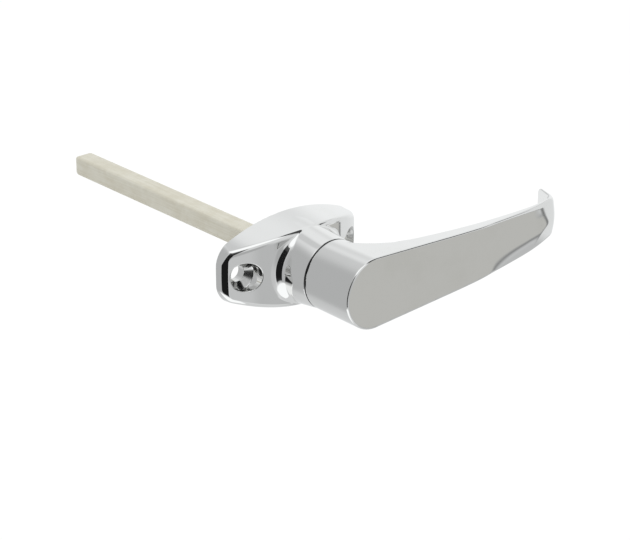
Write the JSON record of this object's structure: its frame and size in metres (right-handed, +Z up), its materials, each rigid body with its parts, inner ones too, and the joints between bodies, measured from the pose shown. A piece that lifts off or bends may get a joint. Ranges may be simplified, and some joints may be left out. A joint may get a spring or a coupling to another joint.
{
  "type": "l-shaped door handle",
  "caption": "Lever door handle bent like an L, with a curled tip, turning on a crowned oblong rose with empty countersunk screw holes and a long square spindle.",
  "frame": {"origin": "centre of the rose's back face, midway between the screw holes, on the spindle axis", "axes": "+X along the lever towards its tip, +Y into the door along the spindle, +Z up"},
  "size_m": [0.1378, 0.1754, 0.0336],
  "materials": {
    "rose_plating": "polished chrome plate on a zinc casting",
    "lever_plating": "polished chrome plate on a zinc casting",
    "spindle_metal": "matt, pale, warm zinc plate on steel",
    "hardware_steel": "plain bright steel"
  },
  "bodies": {
    "rose_assembly": {"rose": "rose_plating", "flat_washer": "hardware_steel", "spring_washer": "hardware_steel"},
    "lever_assembly": {"lever_handle": "lever_plating", "spindle": "spindle_metal", "spindle_pin": "hardware_steel", "retaining_ring": "hardware_steel"}
  },
  "joints": [
    {"name": "lever_turn", "type": "hinge", "parent": "rose_assembly", "child": "lever_assembly", "pos_m": [0, 0, 0], "axis": [0, 1, 0], "continuous": true}
  ]
}
